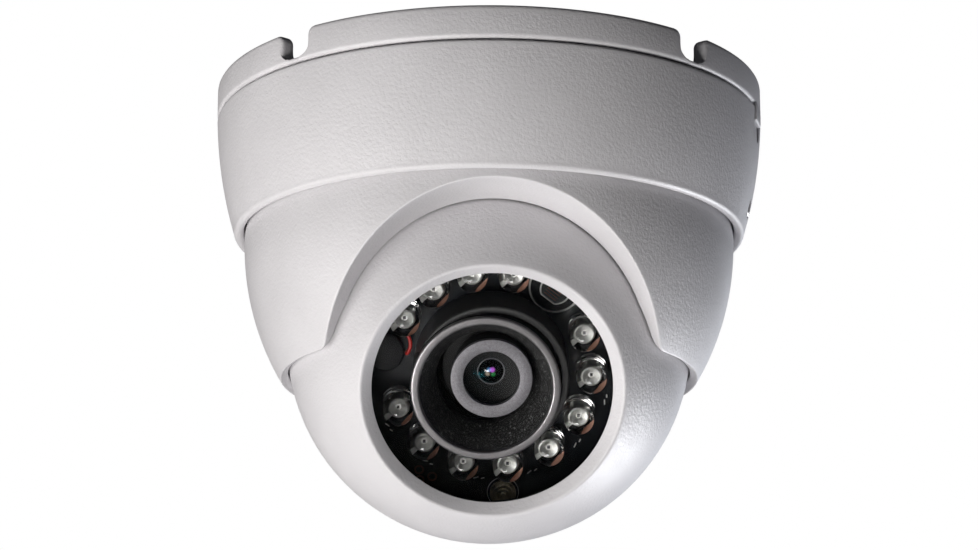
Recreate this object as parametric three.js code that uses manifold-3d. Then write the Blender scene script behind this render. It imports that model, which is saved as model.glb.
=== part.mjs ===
// Ceiling-mounted eyeball dome camera, modelled as the separate pieces it is assembled from.
//
// Units are millimetres and +Z is up. Z = 0 is the ceiling face, so the camera hangs below it. It looks
// along -Y, tipped down. Three joints aim it: the turret pans about Z, and the ball in the turret tilts
// about X and rolls about its own optical axis.

import * as THREE from 'three';
import { mergeVertices } from 'three/addons/utils/BufferGeometryUtils.js';
import Module from 'manifold-3d';

const wasm = await Module();
wasm.setup();

// ---------------------------------------------------------------------------------------------------
// Driving dimensions
// ---------------------------------------------------------------------------------------------------

const GAP = 0.3; // clearance between neighbouring pieces
const SHELL_SIDES = 40; // facets round the large shells
const RING_SIDES = 24; // facets round the rings inside them

// Mounting base and cover ring
const OUTER_R = 46.86; // widest radius of the base band and the cover
const BAND_H = 5.6; // height of the base band against the ceiling
const BAND_WALL = 2.75;
const PLATE_TOP = -5.0;
const PLATE_BOTTOM = -7.4;
const SPIGOT_R = 45.0; // step that centres the cover on the base
const SKIRT_OUT = 41.5;
const SKIRT_IN = 39.5;
const SKIRT_BOTTOM = -19.8;
const CABLE_HOLE_R = 14;
const SCREW_HOLE_R = 2.3;
const SCREW_CIRCLE_R = 33;
const SCREW_HOLES = [90, 210, 330]; // degrees about Z
const NOTCH_W = 5.75;
const NOTCH_ANGLES = [44.5, -44.5, 135.5, -135.5]; // degrees from the front
const COVER_CURVE_R = 74; // the cover's side is one arc, upright at its top
const COVER_CURVE_Z = -4;
const COVER_WALL = 1.4;
const LIP_Z = -25.4; // centre of the rounded lower edge
const LIP_IN_R = 41.95;
const LEDGE_Z = -22.7; // inner ledge that carries the turret's flange
const LOCK_Z = -22; // level with the turret's flange
const LOCK_ANGLES = [-7.5, 172.5]; // degrees about Z
const LOCK_TIP_R = 43; // inner end of a lock screw, just clear of the flange
const LOCK_END_R = 44.5;
const TAB_ANGLE = -14; // pry tab near the right side
const TAB_HALF_W = 2.5;

// Turret
const FLANGE_R = 42.7;
const FLANGE_TOP = -21.2;
const FLANGE_BOTTOM = -22.4;
const BOWL_R = 41.8;
const BOWL_WIDEST_Z = -27.5;
const BOWL_CURVE_R = 46;
const BOWL_NECK_CURVE_R = 12.5;
const BOWL_WALL = 2;
const BOWL_BOTTOM = -51.2;
const BOWL_EDGE = 0.35; // rounding of the bowl's lower edge
const ARCH_R = 27.7; // round-topped opening in front of the ball
const ARCH_Z = -55.2;
const THROAT_HALF_W = 26.2; // half width of the opening where it meets the ball
const THROAT_SLOPE = 0.33; // steepest inward lean of the opening's wall
const ARCH_WALL = 2;
const RETAINER_BOSS_R = 35.6;
const RETAINER_SCREWS = [-90, 30, 150];

// Ball. Its own frame has h along the optical axis and r away from it.
const BALL_Z = -44.2;
const BALL_R = 34.25;
const BALL_WALL = 2;
const REAR_WALL = 2.8;
const TILT_DOWN = 32; // optical axis below the horizon at rest, degrees
const SEAM_H = -5;
const BEZEL_R = 21.55;
const WINDOW_R = 19.75;
const WINDOW_SEAT_H = 24.7;
const GLASS_R = 21.7;
const GLASS_FRONT = 24.4;
const GLASS_BACK = 22.9;
const SHELL_SCREW_R = 27;
const SHELL_SCREWS = [90, 210, 330];

// LED board and lens
const BOARD_R = 24.8;
const BOARD_TOP = 11.8;
const BOARD_BOTTOM = 10.2;
const LED_RUNS = [ // the LEDs stand in two arcs; angles in degrees
  { count: 8, first: 203.2, step: 360 / 14, r: 16.7 },
  { count: 4, first: 78.1, step: 23.3, r: 17 },
];
const SENSOR_AT = { r: 17.1, angle: 51.9 };
const CAP_AT = { r: 17.85, angle: 172.6 };
const CAP_R = 3.35;
const LED_FLANGE_R = 2.85;
const LED_R = 2.5;
const LED_BODY_H = 17.2;
const BOARD_SCREW_R = 22.9;
const BOARD_SCREWS = [-84, 96];
const FRAME_BOTTOM = 4.3;
const FRAME_TOP = 5.8;
const SHROUD_X = -1; // the moulded shroud's mouth sits a little off the lens axis
const SHROUD_Y = -0.8;
const SHROUD_TOP = 22.6;
const LENS_RING_OUT = 6.75;
const LENS_RING_IN = 4.7;
const LENS_RING_TOP = 19.6;
const FILTER_STROKE = 6;

// ---------------------------------------------------------------------------------------------------
// Solids
// ---------------------------------------------------------------------------------------------------

const rad = THREE.MathUtils.degToRad;

// Turns a closed three.js geometry into a solid for joining and cutting.
function toSolid(geometry) {
  const bare = geometry.clone();
  bare.deleteAttribute('normal');
  bare.deleteAttribute('uv');
  const merged = mergeVertices(bare, 1e-4);
  const index = merged.index.array;
  const triVerts = [];
  for (let i = 0; i < index.length; i += 3) {
    const [a, b, c] = index.slice(i, i + 3);
    if (a !== b && b !== c && c !== a) triVerts.push(a, b, c);
  }
  return new wasm.Manifold(new wasm.Mesh({
    numProp: 3,
    vertProperties: new Float32Array(merged.attributes.position.array),
    triVerts: new Uint32Array(triVerts),
  }));
}

function toGeometry(solid) {
  const mesh = solid.getMesh();
  const geometry = new THREE.BufferGeometry();
  geometry.setAttribute('position', new THREE.BufferAttribute(new Float32Array(mesh.vertProperties), 3));
  geometry.setIndex(new THREE.BufferAttribute(new Uint32Array(mesh.triVerts), 1));
  return geometry;
}

const cut = (base, ...tools) => toGeometry(tools.reduce((s, t) => s.subtract(toSolid(t)), toSolid(base)));
const join = (...parts) => toGeometry(parts.slice(1).reduce((s, p) => s.add(toSolid(p)), toSolid(parts[0])));
const common = (a, b) => toGeometry(toSolid(a).intersect(toSolid(b)));

// Revolves [r, z] points about Z. The outline closes on itself unless it starts and ends on the axis.
function revolve(points, segments = 24) {
  const outline = points.map(([r, z]) => new THREE.Vector2(r, z));
  if (THREE.ShapeUtils.area(outline) < 0) outline.reverse();
  const onAxis = points[0][0] === 0 && points.at(-1)[0] === 0;
  if (!onAxis) outline.push(outline[0].clone());
  const geometry = new THREE.LatheGeometry(outline, segments);
  geometry.rotateX(Math.PI / 2);
  return toGeometry(toSolid(geometry));
}

const disc = (r, z0, z1, segments) => revolve([[0, z0], [r, z0], [r, z1], [0, z1]], segments);
const ring = (rIn, rOut, z0, z1, segments) =>
  revolve([[rIn, z0], [rOut, z0], [rOut, z1], [rIn, z1]], segments);

function box(x0, x1, y0, y1, z0, z1) {
  const geometry = new THREE.BoxGeometry(x1 - x0, y1 - y0, z1 - z0);
  return geometry.translate((x0 + x1) / 2, (y0 + y1) / 2, (z0 + z1) / 2);
}

// Points of an arc in the r-z plane, from one angle to another in degrees.
function arc(r, z, radius, from, to, steps) {
  return Array.from({ length: steps + 1 }, (_, i) => {
    const a = rad(from + ((to - from) * i) / steps);
    return [r + radius * Math.cos(a), z + radius * Math.sin(a)];
  });
}

// Radius of a sphere, or of any circle of revolution, at a height above its centre.
const chord = (radius, height) => Math.sqrt(radius * radius - height * height);
const angleAt = (radius, height) => THREE.MathUtils.radToDeg(Math.asin(height / radius));

// Moves a geometry out to radius r and turns it to an angle about Z.
const atAngle = (geometry, r, degrees) => geometry.clone().translate(r, 0, 0).rotateZ(rad(degrees));

// Lays a geometry made along Z on its side, so that it points out along X.
const pointOut = (geometry) => geometry.clone().rotateY(Math.PI / 2);

// A pan-head screw along Z: the head's underside is at z, and the shank runs down from it.
function screw(headR, headH, shankR, length, z) {
  const crown = headH * 0.35;
  const head = [[0, z - length], [shankR, z - length], [shankR, z], [headR, z], [headR, z + crown]];
  return revolve([...head, [headR * 0.7, z + headH], [0, z + headH]], 10);
}

// ---------------------------------------------------------------------------------------------------
// Materials
// ---------------------------------------------------------------------------------------------------

const finish = (color, roughness, metalness, extra = {}) =>
  new THREE.MeshStandardMaterial({ color, roughness, metalness, ...extra });

const whitePaint = finish(0xdedcd8, 0.5, 0.1);
const blackPlastic = finish(0x141416, 0.6, 0);
const darkRubber = finish(0x1b1b1c, 0.8, 0);
const greyMetal = finish(0x77747a, 0.45, 0.6);
const steel = finish(0xb4b2ae, 0.3, 1);
const brass = finish(0xb09a62, 0.3, 1);
const boardBlack = finish(0x101214, 0.4, 0);
const boardGreen = finish(0x1c4a30, 0.5, 0);
const clearGlass = finish(0xe8f0f0, 0.05, 0, { transparent: true, opacity: 0.2 });
const ledResin = finish(0xf2f2ee, 0.1, 0, { transparent: true, opacity: 0.5 });
const redPlastic = finish(0xa52320, 0.5, 0);
const whitePlastic = finish(0xe6e2d6, 0.5, 0);
const filterGlass = finish(0x7fb0a8, 0.05, 0, { transparent: true, opacity: 0.5 });

// ---------------------------------------------------------------------------------------------------
// Scene graph
// ---------------------------------------------------------------------------------------------------

const camera = new THREE.Group();

// The ball's group: its local Z is the optical axis, X is right and Y is up across the window.
const ball = new THREE.Group();
ball.position.z = BALL_Z;
ball.rotation.x = rad(90 + TILT_DOWN);
camera.add(ball);

function piece(parent, name, geometry, material) {
  const mesh = new THREE.Mesh(geometry, material);
  mesh.name = name;
  parent.add(mesh);
}

// ---------------------------------------------------------------------------------------------------
// Mounting base and cover
// ---------------------------------------------------------------------------------------------------

// Cable notch: a slot with rounded floor corners and mouth edges, cut from the ceiling face down.
function notchCutter() {
  const half = NOTCH_W / 2;
  const floor = PLATE_TOP + 0.1;
  const floorR = 1.4;
  const mouthR = 1.5;
  const shape = new THREE.Shape();
  shape.moveTo(-half - mouthR, 1);
  shape.lineTo(-half - mouthR, 0);
  shape.absarc(-half - mouthR, -mouthR, mouthR, Math.PI / 2, 0, true);
  shape.lineTo(-half, floor + floorR);
  shape.absarc(-half + floorR, floor + floorR, floorR, Math.PI, Math.PI * 1.5, false);
  shape.lineTo(half - floorR, floor);
  shape.absarc(half - floorR, floor + floorR, floorR, -Math.PI / 2, 0, false);
  shape.lineTo(half, -mouthR);
  shape.absarc(half + mouthR, -mouthR, mouthR, Math.PI, Math.PI / 2, true);
  shape.lineTo(half + mouthR, 1);
  const cutter = new THREE.ExtrudeGeometry(shape, { depth: 8, bevelEnabled: false, curveSegments: 3 });
  return cutter.rotateX(Math.PI / 2).translate(0, -40, 0); // upright, crossing the wall at the front
}

function mountingBase() {
  const wallIn = OUTER_R - BAND_WALL;
  const dish = revolve([
    [CABLE_HOLE_R, PLATE_TOP], [wallIn, PLATE_TOP], [wallIn, 0],
    ...arc(OUTER_R - 0.6, -0.6, 0.6, 90, 0, 2),
    ...arc(OUTER_R - 0.3, -BAND_H + 0.3, 0.3, 0, -90, 1),
    [SPIGOT_R, -BAND_H], [SPIGOT_R, PLATE_BOTTOM], [SKIRT_OUT, PLATE_BOTTOM], [SKIRT_OUT, SKIRT_BOTTOM],
    [SKIRT_IN, SKIRT_BOTTOM], [SKIRT_IN, PLATE_BOTTOM], [CABLE_HOLE_R, PLATE_BOTTOM],
  ], SHELL_SIDES);
  const tabRing = ring(44.5, OUTER_R + 0.25, -8.6, -BAND_H + 0.5, SHELL_SIDES);
  const tab = common(tabRing, box(40, 50, -TAB_HALF_W, TAB_HALF_W, -10, 0)).rotateZ(rad(TAB_ANGLE));
  const bosses = SCREW_HOLES.map((a) => atAngle(disc(5.2, -9.8, PLATE_BOTTOM + 1, 16), SCREW_CIRCLE_R, a));
  const holes = SCREW_HOLES.map((a) => atAngle(disc(SCREW_HOLE_R, -11, 0, 12), SCREW_CIRCLE_R, a));
  const notches = NOTCH_ANGLES.map((a) => notchCutter().rotateZ(rad(a)));
  return cut(join(dish, tab, ...bosses), ...holes, ...notches);
}

const coverR = (z, inset = 0) => OUTER_R - COVER_CURVE_R + chord(COVER_CURVE_R, z - COVER_CURVE_Z) - inset;

function coverRing() {
  const top = -BAND_H - GAP;
  const side = (from, to, steps, inset) => Array.from({ length: steps + 1 }, (_, i) => {
    const z = from + ((to - from) * i) / steps;
    return [coverR(z, inset), z];
  });
  const lipR = (coverR(LIP_Z) - LIP_IN_R) / 2;
  const shell = revolve([
    [coverR(top, COVER_WALL), top], [coverR(top) - 0.35, top],
    ...side(top - 0.35, LIP_Z, 6, 0),
    ...arc(LIP_IN_R + lipR, LIP_Z, lipR, -30, -150, 3),
    [LIP_IN_R, LIP_Z], [LIP_IN_R, LEDGE_Z],
    ...side(LEDGE_Z, top - 1, 3, COVER_WALL),
  ], SHELL_SIDES);
  const pad = box(FLANGE_R + 0.4, 44.2, -3.2, 3.2, LOCK_Z - 1, LOCK_Z + 2.6);
  const pads = LOCK_ANGLES.map((a) => pad.clone().rotateZ(rad(a)));
  const hole = pointOut(disc(1.7, 40, 48, 12)).translate(0, 0, LOCK_Z);
  const holes = LOCK_ANGLES.map((a) => hole.clone().rotateZ(rad(a)));
  const half = TAB_HALF_W + GAP;
  const tabSlot = box(44, 50, -half, half, -8.9, 0).rotateZ(rad(TAB_ANGLE));
  const prySlot = box(OUTER_R - 0.55, 50, -half, half, -11.3, -8.8).rotateZ(rad(TAB_ANGLE));
  return cut(join(shell, ...pads), ...holes, tabSlot, prySlot);
}

// Socket-head grub screw that locks the cover and turret; it stands in the cover's wall.
function lockScrew() {
  const body = revolve([
    [0, LOCK_TIP_R], [0.9, LOCK_TIP_R], [1.4, LOCK_TIP_R + 0.4], [1.4, LOCK_END_R], [0, LOCK_END_R],
  ], 16);
  const hexagon = new THREE.CylinderGeometry(0.85, 0.85, 1.6, 6);
  const socket = hexagon.rotateX(Math.PI / 2).translate(0, 0, LOCK_END_R);
  return pointOut(cut(body, socket)).translate(0, 0, LOCK_Z);
}

piece(camera, 'mounting_base', mountingBase(), whitePaint);
piece(camera, 'cover_ring', coverRing(), whitePaint);
const panRing = ring(39.7, 41.4, FLANGE_TOP + GAP, SKIRT_BOTTOM - GAP, SHELL_SIDES);
piece(camera, 'pan_friction_ring', panRing, darkRubber);
LOCK_ANGLES.forEach((a, i) => piece(camera, `lock_screw_${i + 1}`, lockScrew().rotateZ(rad(a)), steel));

// ---------------------------------------------------------------------------------------------------
// Turret: the panning bowl and what holds the ball in it
// ---------------------------------------------------------------------------------------------------

const seatR = BALL_R + GAP + 0.05;

// The bowl's outer side, from its neck down to where its lower edge starts to round.
function bowlSide(bottomZ) {
  const neck = arc(BOWL_R - BOWL_NECK_CURVE_R, BOWL_WIDEST_Z, BOWL_NECK_CURVE_R, 14, 5, 2);
  const lowest = angleAt(BOWL_CURVE_R, bottomZ - BOWL_WIDEST_Z);
  return [...neck, ...arc(BOWL_R - BOWL_CURVE_R, BOWL_WIDEST_Z, BOWL_CURVE_R, 0, lowest, 6)];
}

const bowlR = (z) => BOWL_R - BOWL_CURVE_R + chord(BOWL_CURVE_R, z - BOWL_WIDEST_Z);

// The opening, as the solid to cut away. Its wall is ruled from the arch in the bowl's skin to a slightly
// narrower throat on the ball, and each rule runs on to both ends of the cutter.
function archCutter() {
  const steps = 28;
  const sweep = 88;
  const ends = { front: -50, back: -14 };
  const rings = { front: [], back: [] };
  for (let i = 0; i <= steps; i += 1) {
    const t = rad(-sweep + (2 * sweep * i) / steps);
    const side = Math.sign(t);
    const skin = new THREE.Vector3(ARCH_R * Math.sin(t), 0, ARCH_Z + ARCH_R * Math.cos(t));
    const z = THREE.MathUtils.clamp(skin.z, BOWL_BOTTOM, BOWL_WIDEST_Z);
    skin.y = -chord(bowlR(z), skin.x);
    const throat = new THREE.Vector3(THROAT_HALF_W * Math.sin(t), 0, skin.z);
    throat.y = -chord(chord(seatR, z - BALL_Z), throat.x);
    const depth = throat.y - skin.y;
    throat.x = side * Math.max(Math.abs(throat.x), Math.abs(skin.x) - THROAT_SLOPE * depth);
    const rule = throat.clone().sub(skin).divideScalar(depth);
    for (const end of ['front', 'back']) {
      rings[end].push(skin.clone().addScaledVector(rule, ends[end] - skin.y).setY(ends[end]));
    }
  }
  for (const end of ['front', 'back']) {
    rings[end].push(new THREE.Vector3(60, ends[end], -70), new THREE.Vector3(-60, ends[end], -70));
  }
  const count = rings.front.length;
  const points = [...rings.front, ...rings.back];
  const index = [];
  for (let i = 0; i < count; i += 1) {
    const j = (i + 1) % count;
    index.push(i, j, count + i, j, count + j, count + i);
  }
  const flat = rings.front.map((p) => new THREE.Vector2(p.x, p.z));
  for (const [a, b, c] of THREE.ShapeUtils.triangulateShape(flat, [])) {
    index.push(a, b, c, count + a, count + c, count + b);
  }
  const geometry = new THREE.BufferGeometry().setFromPoints(points);
  geometry.setIndex(index);
  return geometry;
}

// A tunnel runs back from the arch in the bowl's skin to the ball, and hides the inside.
function archTunnel() {
  const outerR = ARCH_R + ARCH_WALL;
  const tunnel = new THREE.CylinderGeometry(outerR, outerR, 33, 64).translate(0, -28.5, ARCH_Z);
  const bottom = BOWL_BOTTOM + BOWL_EDGE;
  const inside = revolve([[0, -22.6], ...bowlSide(bottom), [0, bottom]], SHELL_SIDES);
  const ballRoom = new THREE.SphereGeometry(seatR, 48, 24).rotateX(Math.PI / 2).translate(0, 0, BALL_Z);
  return cut(common(tunnel, inside), ballRoom);
}

function turretBowl() {
  const curveR = BOWL_R - BOWL_CURVE_R;
  const roundZ = BOWL_BOTTOM + BOWL_EDGE;
  const stepZ = -46.4;
  const innerAngle = angleAt(BOWL_CURVE_R, stepZ - BOWL_WIDEST_Z);
  const shell = revolve([
    [FLANGE_R - 3.3, FLANGE_TOP], [FLANGE_R, FLANGE_TOP], [FLANGE_R, FLANGE_BOTTOM], [41.4, FLANGE_BOTTOM],
    ...bowlSide(roundZ),
    [bowlR(roundZ) - 0.4, BOWL_BOTTOM],
    ...arc(0, BALL_Z, seatR, angleAt(seatR, BOWL_BOTTOM - BALL_Z), angleAt(seatR, stepZ - BALL_Z), 2),
    ...arc(curveR - BOWL_WALL, BOWL_WIDEST_Z, BOWL_CURVE_R, innerAngle, 0, 3),
  ], SHELL_SIDES);
  const bossTop = FLANGE_TOP - 0.6;
  const boss = join(disc(2.8, -26.8, bossTop, 10), box(0, 4.6, -1.2, 1.2, -26.8, bossTop));
  const bosses = RETAINER_SCREWS.map((a) => atAngle(boss, RETAINER_BOSS_R, a));
  const holes = RETAINER_SCREWS.map((a) => atAngle(disc(1.4, -26.2, -20, 8), RETAINER_BOSS_R, a));
  return cut(join(shell, archTunnel(), ...bosses), ...holes, archCutter());
}

// The gland at the back of the ball swings through this slot when the ball tilts.
const glandSlot = box(-5.2, 5.2, 15, 45, -24, -12);

function ballRetainer() {
  const plate = revolve([
    [24.6, -17.2], [28.5, -17.2], [30, -20], [38.2, -20], [38.2, -21.5], [29, -21.5], [27, -20],
    [27, -18.6], [24.6, -18.6],
  ], RING_SIDES);
  const holes = RETAINER_SCREWS.map((a) => atAngle(disc(1.5, -23, -18, 8), RETAINER_BOSS_R, a));
  return cut(plate, glandSlot, ...holes);
}

piece(camera, 'turret_bowl', turretBowl(), whitePaint);
piece(camera, 'ball_retainer', ballRetainer(), blackPlastic);
piece(camera, 'ball_friction_ring', cut(ring(25.2, 26.7, -20.5, -18.9, RING_SIDES), glandSlot), darkRubber);
RETAINER_SCREWS.forEach((a, i) => {
  const turned = atAngle(screw(2.3, 1.6, 1.1, 6, -19.7), RETAINER_BOSS_R, a);
  piece(camera, `retainer_screw_${i + 1}`, turned, steel);
});

// ---------------------------------------------------------------------------------------------------
// Cable gland at the back of the ball
// ---------------------------------------------------------------------------------------------------

const gland = revolve([
  [2.6, -28.6], [6.8, -28.6], [6.8, -30.2], [5.1, -30.2], [5.1, -35.2], [4.1, -38], [2.6, -38],
], 16);
piece(ball, 'cable_gland', gland, darkRubber);

// ---------------------------------------------------------------------------------------------------
// Ball shells and window
// ---------------------------------------------------------------------------------------------------

function frontShell() {
  const innerR = BALL_R - BALL_WALL;
  const pocketR = GLASS_R + GAP;
  const bezelAngle = 90 - angleAt(BALL_R, BEZEL_R);
  const pocketAngle = 90 - angleAt(innerR, pocketR);
  const shell = revolve([
    ...arc(0, 0, BALL_R, angleAt(BALL_R, SEAM_H), bezelAngle, 7),
    [WINDOW_R, WINDOW_SEAT_H + 0.2], [WINDOW_R, WINDOW_SEAT_H], [pocketR, WINDOW_SEAT_H],
    ...arc(0, 0, innerR, pocketAngle, angleAt(innerR, SEAM_H), 4),
  ], SHELL_SIDES);
  const bossTop = FRAME_BOTTOM - GAP;
  const boss = join(disc(2.8, SEAM_H, bossTop, 10), box(0, 5.8, -1.2, 1.2, SEAM_H, bossTop));
  const bosses = SHELL_SCREWS.map((a) => atAngle(boss, SHELL_SCREW_R, a));
  const rearHoles = SHELL_SCREWS.map((a) => atAngle(disc(1.4, -8, -1, 8), SHELL_SCREW_R, a));
  const frontHoles = SHELL_SCREWS.map((a) => atAngle(disc(1.3, 0.6, 8, 8), SHELL_SCREW_R, a));
  return cut(join(shell, ...bosses), ...rearHoles, ...frontHoles);
}

function rearShell() {
  const innerR = BALL_R - REAR_WALL;
  const face = SEAM_H - GAP;
  const outlet = 5.5;
  const shell = revolve([
    ...arc(0, 0, BALL_R, -90 + angleAt(BALL_R, outlet), angleAt(BALL_R, face), 7),
    [32.9, face], [32.9, face - 1.2], [31.6, face - 1.2], [31.6, face],
    ...arc(0, 0, innerR, angleAt(innerR, face), -90 + angleAt(innerR, outlet), 5),
  ], SHELL_SIDES);
  const post = disc(3.3, -24, face, 10).translate(SHELL_SCREW_R, 0, 0);
  const boss = common(post, new THREE.SphereGeometry(BALL_R - 0.2, 32, 16));
  const bosses = SHELL_SCREWS.map((a) => boss.clone().rotateZ(rad(a)));
  const counterbore = revolve([[0, -34], [2.5, -34], [2.5, -11], [1.45, -11], [1.45, 0], [0, 0]], 10);
  const holes = SHELL_SCREWS.map((a) => atAngle(counterbore, SHELL_SCREW_R, a));
  return cut(join(shell, ...bosses), ...holes);
}

piece(ball, 'eyeball_front_shell', frontShell(), whitePaint);
piece(ball, 'eyeball_rear_shell', rearShell(), whitePaint);
piece(ball, 'shell_seal', ring(31.9, 32.6, SEAM_H - 1.2, SEAM_H - GAP, SHELL_SIDES), darkRubber);
SHELL_SCREWS.forEach((a, i) => {
  const upsideDown = screw(2, 1.8, 1.1, 9, 0).rotateX(Math.PI).translate(0, 0, -11.3);
  piece(ball, `shell_screw_${i + 1}`, atAngle(upsideDown, SHELL_SCREW_R, a), steel);
});
piece(ball, 'window_glass', disc(GLASS_R, GLASS_BACK, GLASS_FRONT, RING_SIDES), clearGlass);
piece(ball, 'window_gasket', ring(20.7, 22.4, 21.8, 22.6, RING_SIDES), darkRubber);
piece(ball, 'window_clamp_ring', ring(21.6, 23.6, 20, 21.5, RING_SIDES), blackPlastic);

// ---------------------------------------------------------------------------------------------------
// LED board, frame and what stands on them
// ---------------------------------------------------------------------------------------------------

const onBoard = BOARD_TOP + GAP;

function ledBoard() {
  const board = ring(9, BOARD_R, BOARD_BOTTOM, BOARD_TOP, RING_SIDES);
  return cut(board, ...BOARD_SCREWS.map((a) => atAngle(disc(1.5, 8, 14, 8), BOARD_SCREW_R, a)));
}

// A 5 mm LED: a flange with a round dome on a straight body.
const led = revolve([
  [0, onBoard], [LED_FLANGE_R, onBoard], [LED_FLANGE_R, onBoard + 1], [LED_R, onBoard + 1],
  ...arc(0, LED_BODY_H, LED_R, 0, 60, 2), [0, LED_BODY_H + LED_R],
], 10);

function lensShroud() {
  const cone = revolve([
    [8.1, 16.4], [11.3, SHROUD_TOP], [12.3, SHROUD_TOP], [12, onBoard], [10.9, onBoard], [10.9, 18.2],
    [8.1, 14.6],
  ], RING_SIDES).translate(SHROUD_X, SHROUD_Y, 0);
  return join(cone, ring(11.6, 12.8, onBoard, 20.6, RING_SIDES));
}

function boardFrame() {
  const plate = ring(16, 30, FRAME_BOTTOM, FRAME_TOP, RING_SIDES);
  return cut(plate, ...SHELL_SCREWS.map((a) => atAngle(disc(1.5, 2, 8, 8), SHELL_SCREW_R, a)));
}

// The short red lead that bows out of the LED board beside the cap.
function redLead() {
  const bow = Array.from({ length: 5 }, (_, i) => {
    const a = rad(-38 + 76 * (i / 4));
    return new THREE.Vector3(-16.2 + 2.8 * Math.cos(a), 3.9 + 2.8 * Math.sin(a), 13.4);
  });
  const foot = (p) => new THREE.Vector3(p.x, p.y, onBoard);
  const points = [foot(bow[0]), ...bow, foot(bow.at(-1))];
  const extrudePath = new THREE.CatmullRomCurve3(points, false, 'catmullrom', 0.3);
  const section = new THREE.Shape().absarc(0, 0, 0.3, 0, Math.PI * 2, false);
  const options = { extrudePath, steps: 14, curveSegments: 2, bevelEnabled: false };
  return new THREE.ExtrudeGeometry(section, options);
}

piece(ball, 'led_board', ledBoard(), boardBlack);
let ledNumber = 0;
for (const { count, first, step, r } of LED_RUNS) {
  for (let i = 0; i < count; i += 1) {
    ledNumber += 1;
    const name = `led_${String(ledNumber).padStart(2, '0')}`;
    piece(ball, name, atAngle(led, r, first + i * step), ledResin);
  }
}
const photocell = common(disc(2.5, onBoard, onBoard + 1, 24), box(-2.1, 2.1, -3, 3, 0, 20));
piece(ball, 'light_sensor', atAngle(photocell, SENSOR_AT.r, SENSOR_AT.angle), whitePlastic);
const cap = revolve([
  [0, onBoard], [CAP_R, onBoard], [CAP_R, onBoard + 0.7], [CAP_R - 0.3, onBoard + 1], [0, onBoard + 1],
], 24);
piece(ball, 'board_cap', atAngle(cap, CAP_AT.r, CAP_AT.angle), blackPlastic);
piece(ball, 'red_lead', redLead(), redPlastic);
piece(ball, 'lens_shroud', lensShroud(), darkRubber);
piece(ball, 'board_frame', boardFrame(), steel);
BOARD_SCREWS.forEach((a, i) => {
  piece(ball, `board_screw_${i + 1}`, atAngle(screw(2.3, 1.5, 1.1, 5, onBoard), BOARD_SCREW_R, a), steel);
  const standoff = ring(1.4, 2.4, FRAME_TOP + GAP, BOARD_BOTTOM - GAP, 6);
  piece(ball, `board_standoff_${i + 1}`, atAngle(standoff, BOARD_SCREW_R, a), brass);
});
SHELL_SCREWS.forEach((a, i) => {
  const frameScrew = atAngle(screw(2.1, 1.5, 1, 5, FRAME_TOP + GAP), SHELL_SCREW_R, a);
  piece(ball, `frame_screw_${i + 1}`, frameScrew, steel);
});

// ---------------------------------------------------------------------------------------------------
// Lens, night filter and electronics
// ---------------------------------------------------------------------------------------------------

const lensBarrel = revolve([
  [0, 7.6], [5.7, 7.6], [5.7, 15.6], [6.6, 15.6], [6.6, 18.3], [LENS_RING_IN, 18.3], [LENS_RING_IN, 16.4],
  [2.6, 14.9], [0, 14.9],
], 24);
const lensRing = ring(LENS_RING_IN, LENS_RING_OUT, LENS_RING_TOP - 1, LENS_RING_TOP, RING_SIDES);
const lensGlass = revolve([[0, 16.9], [4.3, 16.9], [4.3, 17.3], [2.4, 18.2], [0, 18.6]], 24);

function lensHolder() {
  const body = join(box(-12, 12, -9, 9, 2.3, 8.3), disc(8, 8, 13, 32));
  const bore = disc(6.1, 7, 14, 32);
  const filterSlot = box(-13, 13, -5.4, 5.4, 4.2, 7.2);
  const sensorPocket = box(-6, 6, -6, 6, 2, 4.4);
  return cut(body, bore, filterSlot, sensorPocket);
}

// The carrier slides sideways and puts either of its two windows between lens and sensor.
function filterCarrier() {
  const plate = box(-FILTER_STROKE - 3.3, 3.3, -5, 5, 4.6, 5.9);
  return cut(plate, disc(2.3, 4, 7, 16), disc(2.3, 4, 7, 16).translate(-FILTER_STROKE, 0, 0));
}

const filterDisc = disc(2.7, 6.2, 6.8, 16);
const sensorBoard = common(box(-19, 19, -19, 19, 0.4, 2), disc(23, -1, 3, 32));

piece(ball, 'lens_front_ring', lensRing, greyMetal);
piece(ball, 'lens_front_element', lensGlass, clearGlass);
piece(ball, 'lens_barrel', lensBarrel, blackPlastic);
piece(ball, 'lens_holder', lensHolder(), blackPlastic);
piece(ball, 'filter_carrier', filterCarrier(), blackPlastic);
piece(ball, 'infrared_cut_filter', filterDisc, filterGlass);
piece(ball, 'clear_filter', filterDisc.clone().translate(-FILTER_STROKE, 0, 0), clearGlass);
piece(ball, 'image_sensor', box(-4.5, 4.5, -4.5, 4.5, 2.3, 3.6), boardBlack);
piece(ball, 'sensor_board', sensorBoard, boardGreen);
piece(ball, 'main_board', disc(22, -4.6, -3, 32), boardGreen);
piece(ball, 'board_connector', box(-5, 5, -3, 3, -9.9, -4.9), whitePlastic);

export default camera;
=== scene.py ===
"""Looks of a ceiling-mounted eyeball dome camera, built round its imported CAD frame.

Lengths below are millimetres in the frame's own axes (Z = 0 is the ceiling, -Y is the front), and MM
turns them into metres. Pieces of the ball are made in the ball's frame, whose Z is the optical axis.
"""

import math

import bpy
import numpy as np
from mathutils import Matrix, Vector

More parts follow.
